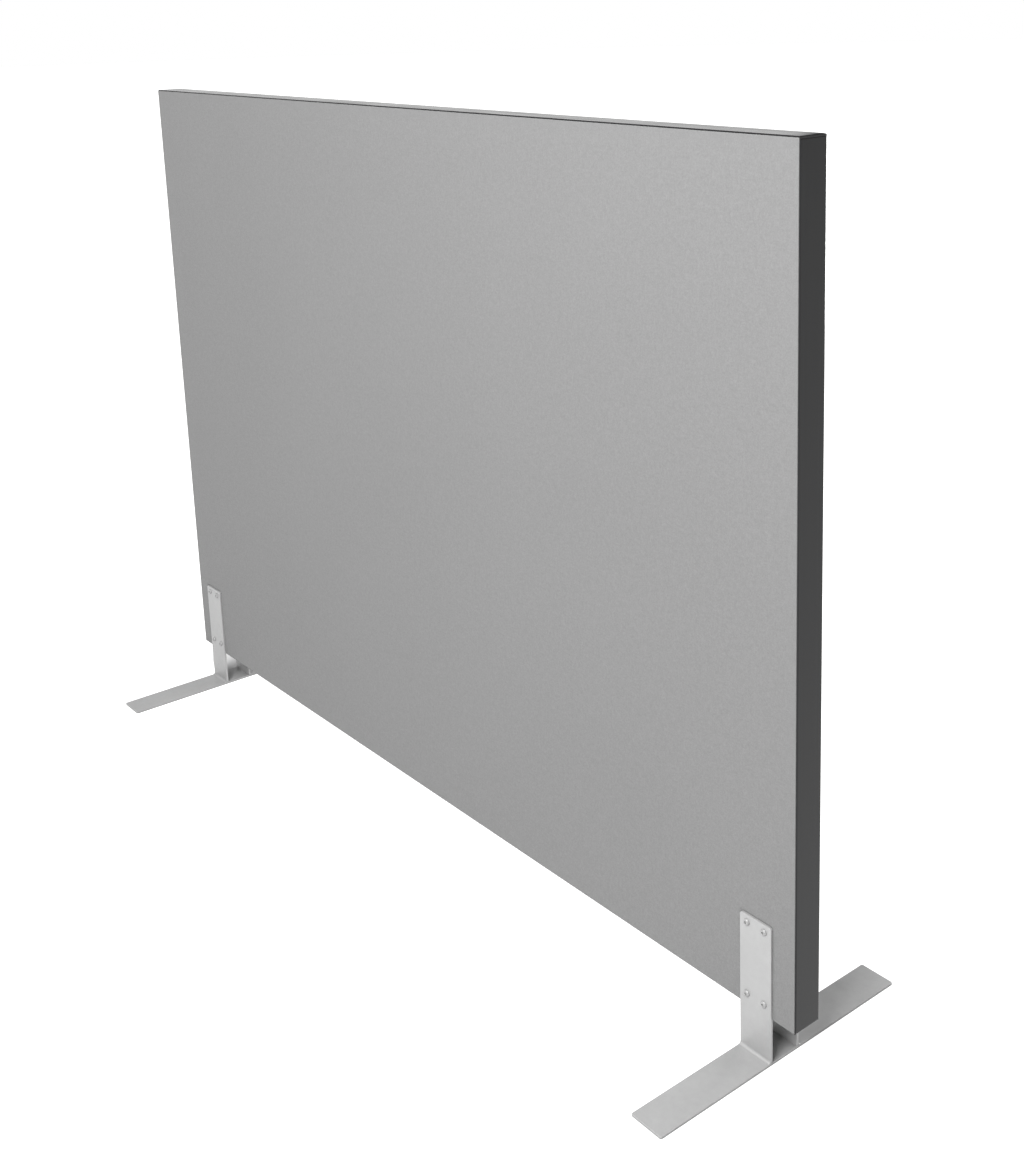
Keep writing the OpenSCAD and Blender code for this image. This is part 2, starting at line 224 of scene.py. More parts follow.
# Silver-grey powder coating of the feet: fine texture with a little metallic fleck
silverLook = {
    "color": (0.337, 0.337, 0.337), "roughness": 0.42, "metallic": 0.2, "grainDepth": 0.03, "grainScale": 900,
    "fleck": 0.05, "fleckScale": 1600, "drift": 0.02, "driftScale": 14, "mottle": 0.025, "mottleScale": 95,
    "rub": 0.05, "rubScale": 60,
}
weldLook = {**silverLook, "color": (0.3, 0.3, 0.3), "roughness": 0.5}  # the coating lies rougher over the ripples


def makeSilver(name, look):
    made = newMaterial(name, look["color"], look["roughness"], Metallic=look["metallic"])
    place = objectPlace(made)
    fleck = about(made, noise(made, place, look["fleckScale"], 2, 0.7), look["fleck"])
    drift = about(made, noise(made, place, look["driftScale"], 3), look["drift"])
    mottle = about(made, noise(made, place, look["mottleScale"], 3, 0.6), look["mottle"])
    rub = noise(made, place, look["rubScale"], 3)
    roughness = spread(made, rub, look["roughness"] - look["rub"], look["roughness"] + look["rub"])
    grain = noise(made, place, look["grainScale"], 2)
    value = calc(made, "MULTIPLY", calc(made, "MULTIPLY", fleck, drift), mottle)
    return setBase(made, tint(made, look["color"], value), roughness, ((grain, 0.5, look["grainDepth"]),))


# Turned and plated steel of the screws and inserts
steelLook = {
    "wear": (0.92, 1.06), "wearScale": 400, "rub": 0.06, "rubScale": 1200, "grainDepth": 0.01, "grainScale": 2400,
}


def makeSteel(name, color, roughness, metallic=1.0, look=steelLook):
    made = newMaterial(name, color, roughness, Metallic=metallic)
    place = objectPlace(made)
    worn = spread(made, noise(made, place, look["wearScale"], 3), *look["wear"])
    rub = noise(made, place, look["rubScale"], 2)
    rough = spread(made, rub, roughness - look["rub"], roughness + look["rub"])
    grain = noise(made, place, look["grainScale"], 2)
    return setBase(made, tint(made, color, worn), rough, ((grain, 0.3, look["grainDepth"]),))


# Planed softwood: growth rings drawn out along the length of the piece. The ring rate is in radians per metre.
timberLook = {
    "color": (0.62, 0.44, 0.26), "roughness": 0.62, "stretch": 0.06, "rings": (0.78, 1.12), "ringRate": 900,
    "warp": 24, "warpScale": 9, "fibre": (0.9, 1.08), "fibreScale": 420, "grainDepth": 0.08,
}


def makeTimber(name, look, along):
    stretch = [look["stretch"] if axis == along else 1 for axis in "XYZ"]
    made = newMaterial(name, look["color"], look["roughness"])
    place = objectPlace(made, stretch)
    warp = calc(made, "MULTIPLY", noise(made, place, look["warpScale"], 3), look["warp"])
    parts = addNode(made, "ShaderNodeSeparateXYZ", {"Vector": place})
    across = calc(made, "ADD", parts.outputs["Y"], parts.outputs["Z" if along == "X" else "X"])
    rings = calc(made, "MULTIPLY", across, look["ringRate"])
    rings = calc(made, "SINE", calc(made, "ADD", rings, warp))
    fibre = noise(made, place, look["fibreScale"], 3, 0.7)
    value = calc(made, "MULTIPLY", spread(made, rings, *look["rings"], -1, 1), spread(made, fibre, *look["fibre"]))
    return setBase(made, tint(made, look["color"], value), bumps=((fibre, 0.4, look["grainDepth"]),))


# Felt and fibre slab: matted fibres, with no weave
feltLook = {"roughness": 0.96, "sheen": 0.2, "sheenRoughness": 0.6, "hairs": (0.85, 1.12), "clumps": (0.94, 1.05)}
hairsInClump = 12


def makeFelt(name, color, scale, depth, look=feltLook):
    made = newMaterial(name, color, look["roughness"],
                       Sheen_Weight=look["sheen"], Sheen_Roughness=look["sheenRoughness"])
    place = objectPlace(made)
    hairs = noise(made, place, scale, 6, 0.75)
    clumps = noise(made, place, scale / hairsInClump, 3)
    value = calc(made, "MULTIPLY", spread(made, hairs, *look["hairs"]), spread(made, clumps, *look["clumps"]))
    return setBase(made, tint(made, color, value), bumps=((hairs, 0.8, depth), (clumps, 0.5, 2 * depth)))


greyFabric = makeGreyFabric("greyFabric", greyFabricLook)
charcoal = makeCharcoal("charcoalCoating", charcoalLook)
silver = makeSilver("silverCoating", silverLook)
silverWeld = makeSilver("silverCoatingOverWeld", weldLook)
brightSteel = makeSteel("brightScrewSteel", (0.325, 0.325, 0.325), 0.46, 0.3)
blackSteel = makeSteel("blackenedScrewSteel", (0.035, 0.035, 0.036), 0.42, 0.6)
yellowZinc = makeSteel("yellowZinc", (0.72, 0.58, 0.32), 0.34)
timberAcross = makeTimber("timberAlongX", timberLook, "X")
timberUpright = makeTimber("timberAlongZ", timberLook, "Z")
paleFelt = makeFelt("paleFelt", (0.68, 0.68, 0.66), 900, 0.25)
fibreSlab = makeFelt("fibreSlab", (0.52, 0.49, 0.38), 420, 0.5)
print("materials made")


# Mesh helpers. Points are in millimetres in the common frame.
def newPiece(name, made, bm, turnOut=True):
    if turnOut:
        bmesh.ops.recalc_face_normals(bm, faces=bm.faces)
    mesh = bpy.data.meshes.new(name)
    bm.to_mesh(mesh)
    bm.free()
    mesh.transform(Matrix.Scale(mm, 4))
    mesh.materials.append(made)
    piece = bpy.data.objects.new(name, mesh)
    bpy.context.scene.collection.objects.link(piece)
    return piece


def addModifier(piece, kind, **settings):
    modifier = piece.modifiers.new(kind.lower(), kind)
    for key, value in settings.items():
        setattr(modifier, key, value)
    return modifier


# The evaluated shape becomes the piece's own plain mesh
def settle(piece):
    graph = bpy.context.evaluated_depsgraph_get()
    mesh = bpy.data.meshes.new_from_object(piece.evaluated_get(graph), depsgraph=graph)
    piece.modifiers.clear()
    old, piece.data = piece.data, mesh
    mesh.name = piece.name
    bpy.data.meshes.remove(old)
    return piece


def smoothBy(piece, degrees=32, weighted=True):
    for face in piece.data.polygons:
        face.use_smooth = True
    piece.data.set_sharp_from_angle(angle=math.radians(degrees))
    if weighted:
        addModifier(piece, "WEIGHTED_NORMAL", keep_sharp=True, mode="FACE_AREA")
        settle(piece)
    return piece


def cutWith(piece, tool, operation="DIFFERENCE"):
    addModifier(piece, "BOOLEAN", object=tool, operation=operation, solver="EXACT")
    settle(piece)
    bpy.data.objects.remove(tool)
    return piece


def softenEdges(piece, width, segments=3, degrees=40):
    addModifier(piece, "BEVEL", width=width * mm, segments=segments, limit_method="ANGLE",
                angle_limit=math.radians(degrees), miter_outer="MITER_ARC")
    return settle(piece)


def addToRoot(piece, slot, *replaced):
    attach(piece, "root")
    if replaced:
        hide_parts(*replaced)
    return piece


def arc(centreX, centreY, radius, start, end, steps=arcSteps):
    turns = [math.radians(start + (end - start) * i / steps) for i in range(steps + 1)]
    return [(centreX + radius * math.cos(t), centreY + radius * math.sin(t)) for t in turns]


def roundedOutline(width, height, radius, steps=arcSteps):
    points = []
    for k, (signX, signY) in enumerate(((1, 1), (-1, 1), (-1, -1), (1, -1))):
        centre = signX * (width / 2 - radius), signY * (height / 2 - radius)
        points += arc(*centre, radius, 90 * k, 90 * k + 90, steps)
    return points


# A closed prism: outline points, each given its two ends in the common frame
def prism(bm, outline, first, last):
    starts = [bm.verts.new(first(*p)) for p in outline]
    ends = [bm.verts.new(last(*p)) for p in outline]
    bm.faces.new(starts)
    bm.faces.new(list(reversed(ends)))
    for i in range(len(outline)):
        j = (i + 1) % len(outline)
        bm.faces.new((starts[j], starts[i], ends[i], ends[j]))


# Round parts that are turned about Z: rings of (radius, height), a radius may follow the angle
def turned(bm, rings, steps=48, at=(0, 0, 0)):
    def point(radius, height, i):
        angle = 2 * math.pi * i / steps
        r = radius(angle) if callable(radius) else radius
        return (at[0] + r * math.cos(angle), at[1] + r * math.sin(angle), at[2] + height)

    loops = [[bm.verts.new(point(r, h, i)) for i in range(steps)] for r, h in rings]
    for one, two in zip(loops, loops[1:]):
        for i in range(steps):
            j = (i + 1) % steps
            bm.faces.new((one[i], one[j], two[j], two[i]))
    for loop, height in ((loops[0], rings[0][1]), (loops[-1], rings[-1][1])):
        centre = bm.verts.new((at[0], at[1], at[2] + height))
        for i in range(steps):
            bm.faces.new((loop[i], loop[(i + 1) % steps], centre))


# Edge profile: four mitred lengths of one section, with eased corners
edgeProfile = {
    "wall": 2, "lip": 15, "heel": 3, "nose": 1.6, "innerNose": 0.3, "lipEnd": 0.6,
    "setback": 1, "cornerRadius": 5, "mitreGap": 0.06, "cutterOverrun": 5, "shadeTurn": 24,
    "longScrews": 5, "shortScrews": 4, "screwInset": 11.5,
    # Radius and height of a countersunk hole in the lip, from its inner end outwards
    "lipHole": ((1.95, -4), (1.95, -1.3), (3.12, -0.1), (3.12, 1)),
}


def profileSection(sizes):
    wall, lip, heel = sizes["wall"], sizes["lip"], sizes["heel"]
    nose, inner, end = sizes["nose"], sizes["innerNose"], sizes["lipEnd"]
    rimY = frontY + sizes["setback"]
    points = arc(nose, rimY + nose, nose, 180, 270)
    points += arc(wall - inner, rimY + inner, inner, 270, 360, 4)
    points += arc(heel, backY - heel, heel - wall, 180, 90, 16)
    points += arc(lip - end, backY - wall + end, end, 270, 360, 4)
    points += arc(lip - end, backY - end, end, 0, 90, 4)
    points += arc(heel, backY - heel, heel, 90, 180, 20)
    return points


def screwPlaces(sizes):
    def spreadOut(count, span):
        return [span * (2 * i + 1 - count) / (2 * count) for i in range(count)]

    insetX, insetZ = halfWidth - sizes["screwInset"], halfHeight - sizes["screwInset"]
    long = [(x, s * insetZ) for x in spreadOut(sizes["longScrews"], panel["width"]) for s in (-1, 1)]
    short = [(s * insetX, z) for z in spreadOut(sizes["shortScrews"], panel["height"]) for s in (-1, 1)]
    return long + short


# Holes in the lip, countersunk for the screw heads
def lipHoles(sizes):
    bm = bmesh.new()
    for x, z in screwPlaces(sizes):
        turned(bm, sizes["lipHole"], 24, (x, z, 0))
    for v in bm.verts:
        x, z, y = v.co
        v.co = (x, backY + y, midHeight + z)
    return newPiece("lipHoles", charcoal, bm)


def makeEdgeProfiles(sizes):
    section = profileSection(sizes)
    gap = sizes["mitreGap"]
    sides = {
        "bottom": (halfWidth, lambda along, a, y: (along, y, panel["lift"] + a)),
        "top": (halfWidth, lambda along, a, y: (along, y, panel["lift"] + panel["height"] - a)),
        "left": (halfHeight, lambda along, a, y: (-halfWidth + a, y, midHeight + along)),
        "right": (halfHeight, lambda along, a, y: (halfWidth - a, y, midHeight + along)),
    }
    for side, (reach, at) in sides.items():
        bm = bmesh.new()
        prism(bm, section, lambda a, y: at(-(reach - a - gap), a, y), lambda a, y: at(reach - a - gap, a, y))
        piece = newPiece(side + "_edge", charcoal, bm)
        bm = bmesh.new()
        corner = roundedOutline(panel["width"], panel["height"], sizes["cornerRadius"])
        low, high = frontY - sizes["cutterOverrun"], backY + sizes["cutterOverrun"]
        prism(bm, corner, lambda x, z: (x, low, midHeight + z), lambda x, z: (x, high, midHeight + z))
        cutWith(piece, newPiece("cornerCut", charcoal, bm), "INTERSECT")
        cutWith(piece, lipHoles(sizes))
        smoothBy(piece, sizes["shadeTurn"])
        addToRoot(piece, "charcoal_coating", side + "_edge_profile")


makeEdgeProfiles(edgeProfile)
print("edge profiles made")


# A sheet stretched over the panel's face, rolled at its edge and carried on down the sides.
# The loops after the roll are (distance outwards, distance behind the face).
frontSheet = {
    "name": "front_fabric_sheet", "face": -1, "halfWidth": 897.95, "halfHeight": 617.95,
    "roll": 0.7, "thickness": 1.0, "loops": ((0, 6), (0, 18), (0, 31.5)), "puff": 1.2, "crease": 2.6,
}
backSheet = {
    "name": "back_fabric_sheet", "face": 1, "halfWidth": 884.8, "halfHeight": 604.8,
    "roll": 0.7, "thickness": 1.0, "loops": ((0, 1.4), (0.3, 2.0), (3, 2.05), (6.2, 2.05)),
    "puff": 0.6, "crease": 3,
}
# Lines of the sheets' mesh: closer at the rim and at both sides of each edge of an upright
clothGrid = {
    "insets": (0.8, 2, 4, 8, 14, 24, 40), "besideMark": (0.4, 1.5, 3, 5, 8, 14), "nearest": 0.25, "widest": 45,
    "crownReach": 45, "rollTurns": (22.5, 45, 67.5, 90), "atRim": 0.01, "shadeTurn": 50,
}


def gridLines(reach, marks):
    lines = {-reach, reach}
    for side in (-1, 1):
        lines |= {side * (reach - inset) for inset in clothGrid["insets"]}
        lines |= {mark + side * step for mark in marks for step in clothGrid["besideMark"]}
    lines = sorted(p for p in lines if abs(p) <= reach)
    filled = [lines[0]]
    for p in lines[1:]:
        if p - filled[-1] < clothGrid["nearest"]:
            continue
        steps = math.ceil((p - filled[-1]) / clothGrid["widest"])
        start = filled[-1]
        filled += [start + (p - start) * (i + 1) / steps for i in range(steps)]
    return filled


def ease(value):
    value = min(1, max(0, value))
    return value * value * (3 - 2 * value)


# How far the cloth stands proud: pressed flat by the uprights and at the panel's edge
def clothRise(sizes, x, z):
    rim = min(sizes["halfWidth"] - abs(x), sizes["halfHeight"] - abs(z))
    half = foot["barWidth"] / 2
    beyondX = abs(abs(x) - foot["middle"]) - half
    beyondZ = z + midHeight - foot["uprightTop"]
    away = math.hypot(max(beyondX, 0), max(beyondZ, 0))
    return sizes["puff"] * ease(rim / clothGrid["crownReach"]) * ease(away / sizes["crease"])


def makeSheet(sizes, *replaced):
    roll, out = sizes["roll"], sizes["face"]
    faceY = out * panel["thickness"] / 2
    innerX, innerZ, atRim = sizes["halfWidth"] - roll, sizes["halfHeight"] - roll, clothGrid["atRim"]
    marksX = [s * foot["middle"] + t * foot["barWidth"] / 2 for s in (-1, 1) for t in (-1, 1)]
    xs = gridLines(innerX, marksX)
    zs = gridLines(innerZ, [foot["uprightTop"] - midHeight])
    bm = bmesh.new()
    rows = [[bm.verts.new((x, faceY + out * clothRise(sizes, x, z), z + midHeight)) for x in xs] for z in zs]
    for low, high in zip(rows, rows[1:]):
        for i in range(len(xs) - 1):
            bm.faces.new((low[i], low[i + 1], high[i + 1], high[i]))
    rim = rows[0] + [row[-1] for row in rows[1:]] + rows[-1][-2::-1] + [row[0] for row in rows[-2:0:-1]]
    turns = [math.radians(turn) for turn in clothGrid["rollTurns"]]
    profile = [(roll * math.sin(t), roll * (1 - math.cos(t))) for t in turns]
    profile += [(roll + beyond, roll + down) for beyond, down in sizes["loops"]]
    ring = rim
    for beyond, down in profile:
        new = []
        for v in rim:
            x, z = v.co.x, v.co.z - midHeight
            sideX = (x > innerX - atRim) - (x < -innerX + atRim)
            sideZ = (z > innerZ - atRim) - (z < -innerZ + atRim)
            new.append(bm.verts.new((x + sideX * beyond, faceY - out * down, z + midHeight + sideZ * beyond)))
        for i in range(len(ring)):
            j = (i + 1) % len(ring)
            bm.faces.new((ring[i], ring[j], new[j], new[i]))
        ring = new
    bmesh.ops.recalc_face_normals(bm, faces=bm.faces)
    centre = min(bm.faces, key=lambda f: (f.calc_center_median() - rows[len(zs) // 2][len(xs) // 2].co).length)
    if centre.normal.y * out < 0:
        bmesh.ops.reverse_faces(bm, faces=bm.faces)
    piece = newPiece(sizes["name"], greyFabric, bm, turnOut=False)
    addModifier(piece, "SOLIDIFY", thickness=sizes["thickness"] * mm, offset=-1, use_even_offset=True)
    settle(piece)
    smoothBy(piece, clothGrid["shadeTurn"], False)
    return addToRoot(piece, "grey_fabric", *replaced)


frontCloth = makeSheet(frontSheet, "front_fabric")
backCloth = makeSheet(backSheet, "back_fabric")
print("fabric stretched over both faces")


# Felt layers and acoustic slabs inside, soft slabs with rounded edges
feltLayers = {
    "front_felt_layer": ("front_felt", (-896.4, -23.95, 73.6), (896.4, -21.55, 1306.4)),
    "back_felt_layer": ("back_felt", (-883.4, 22.05, 86.6), (883.4, 23.9, 1293.4)),
}
slabSizes = {"feltEase": 0.6, "slabEase": 5, "blockRoom": {"low": (0.5, 4, 7.5), "high": (0.5, 4, 0.5)}}


def box(low, high):
    bm = bmesh.new()
    bmesh.ops.create_cube(bm, size=1)
    bmesh.ops.scale(bm, vec=[h - l for l, h in zip(low, high)], verts=bm.verts)
    bmesh.ops.translate(bm, vec=[(l + h) / 2 for l, h in zip(low, high)], verts=bm.verts)
    return bm


def makeSlab(name, low, high, radius, made):
    bm = box(low, high)
    bmesh.ops.bevel(bm, geom=bm.edges[:], offset=radius, segments=4, profile=0.5, affect="EDGES")
    return smoothBy(newPiece(name, made, bm), softTurn)


for name, (node, low, high) in feltLayers.items():
    layer = addToRoot(makeSlab(name, low, high, slabSizes["feltEase"], paleFelt), "felt", node)
for side in ("left", "centre", "right"):
    low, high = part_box(side + "_core")
    low, high = [c / mm for c in low], [c / mm for c in high]
    slab = makeSlab(side + "_slab", low, high, slabSizes["slabEase"], fibreSlab)
    if side != "centre":  # the outer slabs are cut out round the foot blocks
        low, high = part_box(side + "_foot_block")
        room = slabSizes["blockRoom"]
        low = [c / mm - r for c, r in zip(low, room["low"])]
        high = [c / mm + r for c, r in zip(high, room["high"])]
        cutWith(slab, newPiece("blockSpace", fibreSlab, box(low, high)))
    addToRoot(slab, "acoustic_slab", side + "_core")
print("felt and slabs laid in")


# Feet: flat bars with eased edges
footEase = {"corner": 3, "uprightCorner": 5, "edge": 0.55, "hole": 6.6, "drillFrom": -4, "drillTo": 8}
weldBead = {
    "leg": 5, "fill": 0.1, "root": 0.3, "inset": 0.2, "endRound": 2, "endShare": 0.6,
    "ripple": 0.28, "pitch": 2.4, "bow": 1.1, "across": 10, "alongRipple": 8,
}


def makeFloorBar(side, s):
    bm = bmesh.new()
    outline = roundedOutline(foot["barWidth"], foot["length"], footEase["corner"], 6)
    prism(bm, outline, lambda x, y: (s * foot["middle"] + x, y, 0),
          lambda x, y: (s * foot["middle"] + x, y, foot["barThickness"]))
    piece = newPiece(side + "_bar", silver, bm)
    softenEdges(piece, footEase["edge"])
    addToRoot(smoothBy(piece), "silver_coating", side + "_floor_bar")


# The plate: straight at its foot, rounded at its top corners, drilled for the screws
def makeUpright(side, s, end, out):
    width, top, low = foot["barWidth"], foot["uprightTop"], foot["barThickness"]
    radius = footEase["uprightCorner"]
    outline = [(-width / 2, low), (width / 2, low)]
    outline += arc(width / 2 - radius, top - radius, radius, 0, 90, 8)
    outline += arc(-width / 2 + radius, top - radius, radius, 90, 180, 8)
    near = out * panel["thickness"] / 2
    far = near + out * foot["barThickness"]
    x0 = s * foot["middle"]
    bm = bmesh.new()
    prism(bm, outline, lambda x, z: (x0 + x, near, z), lambda x, z: (x0 + x, far, z))
    piece = newPiece(f"{side}_{end}_plate", silver, bm)
    softenEdges(piece, footEase["edge"])
    drill = [(footEase["hole"] / 2, depth) for depth in (footEase["drillFrom"], footEase["drillTo"])]
    bm = bmesh.new()
    for dx in (-0.5, 0.5):
        for dz in (0, 1):
            x, z = x0 + dx * footScrews["pitchX"], footScrews["low"] + dz * footScrews["pitchZ"]
            turned(bm, drill, 32, (x, -z, 0))
    for v in bm.verts:
        x, z, y = v.co
        v.co = (x, near + out * y, -z)
    cutWith(piece, newPiece("holes", silver, bm))
    addToRoot(smoothBy(piece), "silver_coating", f"{side}_{end}_upright")


# The weld on the outer side of the plate: a hollow fillet with the ripples of the torch under the coating
def makeWeld(side, s, end, out):
    leg, low = weldBead["leg"], foot["barThickness"]
    near = out * (panel["thickness"] / 2 + foot["barThickness"])
    half = foot["barWidth"] / 2 - weldBead["inset"]
    endRound, endShare, root = weldBead["endRound"], weldBead["endShare"], weldBead["root"]
    count = int(2 * half / weldBead["pitch"]) * weldBead["alongRipple"]
    bm = bmesh.new()
    loops = []
    for i in range(count + 1):
        x = -half + 2 * half * i / count
        intoEnd = max(0, abs(x) - half + endRound) / endRound
        endEase = endShare + (1 - endShare) * math.sqrt(max(0, 1 - intoEnd ** 2))
        loop = []
        for k in range(weldBead["across"] + 1):
            t = k / weldBead["across"] * math.pi / 2
            bulge = math.sin(2 * t)
            phase = 2 * math.pi * (x - weldBead["bow"] * bulge) / weldBead["pitch"]
            radius = leg - weldBead["ripple"] * (0.5 + 0.5 * math.cos(phase)) * bulge
            y, z = leg - radius * math.cos(t), leg - radius * math.sin(t)
            fill = weldBead["fill"] * bulge
            loop.append((x, (y + fill) * endEase, (z + fill) * endEase))
        loop.append((x, -root, -root))
        loops.append([bm.verts.new((s * foot["middle"] + x, near + out * y, low + z)) for x, y, z in loop])
    for one, two in zip(loops, loops[1:]):
        for i in range(len(one)):
            j = (i + 1) % len(one)
            bm.faces.new((one[i], one[j], two[j], two[i]))
    bm.faces.new(loops[0])
    bm.faces.new(loops[-1])
    piece = newPiece(f"{side}_{end}_weld", silverWeld, bm)
    addToRoot(smoothBy(piece, softTurn, False), "silver_coating")


for side, s in (("left", -1), ("right", 1)):
    makeFloorBar(side, s)
    for end, out in (("front", -1), ("rear", 1)):
        makeUpright(side, s, end, out)
        makeWeld(side, s, end, out)
print("feet made")


# Screws: one is turned, then a node tree sets out a grid of them
buttonScrew = {
    "shank": 6, "length": 20, "tip": 0.6, "head": 10.5, "headHeight": 3.3,
    "crownPower": 2.6,  # 2 is a plain dome, more is flatter on top
    "crownRadii": (2.75, 3.2, 3.7, 4.15, 4.5, 4.8, 5.0, 5.15),
    "socketFloor": (3.9, 0.9),  # across the flats, and height
    # Across the flats, and how far off the crown's height at a radius
    "socketEdges": ((4.0, 2.3, -0.15), (4.25, 2.4, 0.02)),
    "rim": ((0, 0.4), (0.12, 0.08), (0.3, 0)),  # distance in from the head's radius, height
}
countersunkScrew = {
    "slot": ((0.9, 0.28, -1.1), (1.75, 0.42, -0.12), (1.85, 0.5, -0.02)),  # reach, half width, height
    "body": ((2.3, 0), (2.85, -0.03), (3.0, -0.16), (1.75, -1.35), (1.6, -9.2), (0.2, -11)),
}


def hexagon(flats):
    return lambda angle: flats / 2 / math.cos((angle % (math.pi / 3)) - math.pi / 6)


def crossSlot(reach, halfSlot):
    def radius(angle):
        c, s = abs(math.cos(angle)) + 1e-6, abs(math.sin(angle)) + 1e-6
        return max(min(reach / c, halfSlot / s), min(halfSlot / c, reach / s))
    return radius


def buttonHead(sizes):
    head, height, shank = sizes["head"] / 2, sizes["headHeight"], sizes["shank"] / 2
    power = sizes["crownPower"]

    def crown(radius):
        return height * (1 - (radius / head) ** power) ** (1 / power)

    flats, up = sizes["socketFloor"]
    rings = [(hexagon(flats), up)]
    rings += [(hexagon(flats), crown(radius) + off) for flats, radius, off in sizes["socketEdges"]]
    rings += [(r, crown(r)) for r in sizes["crownRadii"]]
    rings += [(head - inwards, up) for inwards, up in sizes["rim"]]
    return rings + [(shank, 0), (shank, sizes["tip"] - sizes["length"]), (shank - sizes["tip"], -sizes["length"])]


def countersunkHead(sizes):
    return [(crossSlot(reach, halfSlot), up) for reach, halfSlot, up in sizes["slot"]] + list(sizes["body"])


def screwGridTree():
    tree = bpy.data.node_groups.new("screwGrid", "GeometryNodeTree")
    face = tree.interface
    face.new_socket(name="Geometry", in_out="OUTPUT", socket_type="NodeSocketGeometry")
    wanted = (("Screw", "Object"), ("Columns", "Int"), ("Rows", "Int"), ("Pitch X", "Float"),
              ("Pitch Z", "Float"), ("Middle", "Vector"), ("Facing", "Float"), ("Seed", "Int"),
              ("Material", "Material"))
    ids = {}
    for name, kind in wanted:
        ids[name] = face.new_socket(name=name, in_out="INPUT", socket_type="NodeSocket" + kind).identifier

    def add(kind, inputs=(), **settings):
        node = tree.nodes.new(kind)
        for key, value in settings.items():
            setattr(node, key, value)
        for key, value in dict(inputs).items():
            if isinstance(value, bpy.types.NodeSocket):
                tree.links.new(value, node.inputs[key])
            else:
                node.inputs[key].default_value = value
        return node

    given = add("NodeGroupInput").outputs

    def span(count, pitch):
        gaps = add("ShaderNodeMath", {0: count, 1: 1.0}, operation="SUBTRACT").outputs[0]
        return add("ShaderNodeMath", {0: gaps, 1: pitch}, operation="MULTIPLY").outputs[0]

    grid = add("GeometryNodeMeshGrid", {
        "Size X": span(given["Columns"], given["Pitch X"]),
        "Size Y": span(given["Rows"], given["Pitch Z"]),
        "Vertices X": given["Columns"], "Vertices Y": given["Rows"],
    })
    fullTurn = (0, 0, 6.283)
    turn = add("FunctionNodeRandomValue", {"Max": fullTurn, "Seed": given["Seed"]}, data_type="FLOAT_VECTOR")
    screw = add("GeometryNodeObjectInfo", {"Object": given["Screw"]})
    copies = add("GeometryNodeInstanceOnPoints", {
        "Points": grid.outputs["Mesh"], "Instance": screw.outputs["Geometry"],
        "Rotation": turn.outputs["Value"],
    })
    real = add("GeometryNodeRealizeInstances", {"Geometry": copies.outputs["Instances"]})
    tilt = add("ShaderNodeCombineXYZ", {"X": given["Facing"]})
    moved = add("GeometryNodeTransform", {
        "Geometry": real.outputs["Geometry"], "Translation": given["Middle"],
        "Rotation": tilt.outputs["Vector"],
    })
    coat = add("GeometryNodeSetMaterial", {"Geometry": moved.outputs["Geometry"], "Material": given["Material"]})
    out = add("NodeGroupOutput")
    tree.links.new(coat.outputs["Geometry"], out.inputs["Geometry"])
    return tree, ids


screwTree, screwIds = screwGridTree()


def screwGrid(name, screw, columns, rows, pitchX, pitchZ, middle, out, seed, made):
    mesh = bpy.data.meshes.new(name)
    piece = bpy.data.objects.new(name, mesh)
    bpy.context.scene.collection.objects.link(piece)
    modifier = addModifier(piece, "NODES", node_group=screwTree)
    values = {
        "Screw": screw, "Columns": columns, "Rows": rows, "Pitch X": pitchX * mm, "Pitch Z": pitchZ * mm,
        "Middle": [c * mm for c in middle], "Facing": math.radians(-90 * out), "Seed": seed, "Material": made,
    }
    for key, value in values.items():
        modifier[screwIds[key]] = value
    settle(piece)
    return piece


def turnedScrew(name, rings, made, shadeTurn=35):
    bm = bmesh.new()
    turned(bm, rings)
    return smoothBy(newPiece(name, made, bm), shadeTurn, False)


footScrew = turnedScrew("footScrew", buttonHead(buttonScrew), brightSteel)
lipScrew = turnedScrew("lipScrew", countersunkHead(countersunkScrew), blackSteel)
seed = 3  # the screws of each upright are turned their own way
for side, s in (("left", -1), ("right", 1)):
    for end, out in (("front", -1), ("rear", 1)):
        middleZ = footScrews["low"] + footScrews["pitchZ"] / 2
        seat = out * (panel["thickness"] / 2 + foot["barThickness"])
        screws = screwGrid(f"{side}_{end}_button_screws", footScrew, 2, 2, footScrews["pitchX"],
                           footScrews["pitchZ"], (s * foot["middle"], seat, middleZ), out, seed, brightSteel)
        addToRoot(screws, "foot_screw", f"{side}_{end}_screws")
        seed += 1
inset = edgeProfile["screwInset"]
count, countUp = edgeProfile["longScrews"], edgeProfile["shortScrews"]
lipRows = [
    screwGrid("edge_screws", lipScrew, count, 2, panel["width"] / count, panel["height"] - 2 * inset,
              (0, backY, midHeight), 1, 11, blackSteel),
    screwGrid("edge_screws_sides", lipScrew, 2, countUp, panel["width"] - 2 * inset, panel["height"] / countUp,
              (0, backY, midHeight), 1, 12, blackSteel),
]
bm = bmesh.new()
for row in lipRows:
    bm.from_mesh(row.data)
bm.to_mesh(lipRows[0].data)
bm.free()
bpy.data.objects.remove(lipRows[1])
addToRoot(lipRows[0], "dark_screw", "edge_profile_screws")
for spare in (footScrew, lipScrew):
    bpy.data.objects.remove(spare)
print("screws set")


# Rigid pieces that keep the shape of the source
finishes = {
    timberAcross: ("top_rail", "bottom_rail"),
    timberUpright: ("left_stile", "right_stile", "left_stud", "right_stud", "left_foot_block", "right_foot_block"),
    yellowZinc: ("frame_screws", "left_threaded_inserts", "right_threaded_inserts"),
}
for made, names in finishes.items():
    for name in names:
        for slot in nodes[name].material_slots:
            slot.link = "OBJECT"
            slot.material = made
print("timber and fixings finished")


